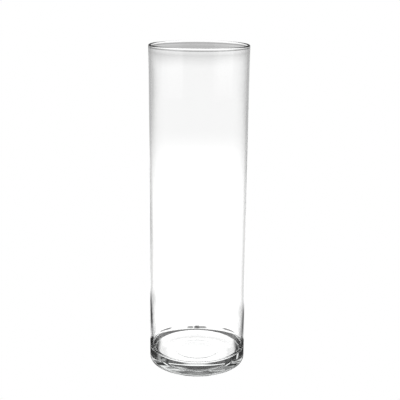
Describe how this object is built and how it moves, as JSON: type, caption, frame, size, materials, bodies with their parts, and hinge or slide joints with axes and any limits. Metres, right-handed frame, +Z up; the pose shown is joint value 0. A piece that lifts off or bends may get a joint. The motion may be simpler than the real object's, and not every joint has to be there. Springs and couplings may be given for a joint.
{
  "type": "glass cylinder vase",
  "caption": "Tall clear glass cylinder vase in one piece, with a thick base, a rounded heel, a fire-polished rim and an open mouth for stems and water.",
  "frame": {"origin": "centre of the standing ring, on the surface that the vase stands on", "axes": "+Z up along the vase's axis, out of its mouth; X and Y are any two level directions, because the vase is round"},
  "size_m": [0.1523, 0.1524, 0.508],
  "materials": {
    "clear_glass": "clear, fire-polished"
  },
  "bodies": {
    "root": {"vase_body": "clear_glass"}
  },
  "joints": []
}
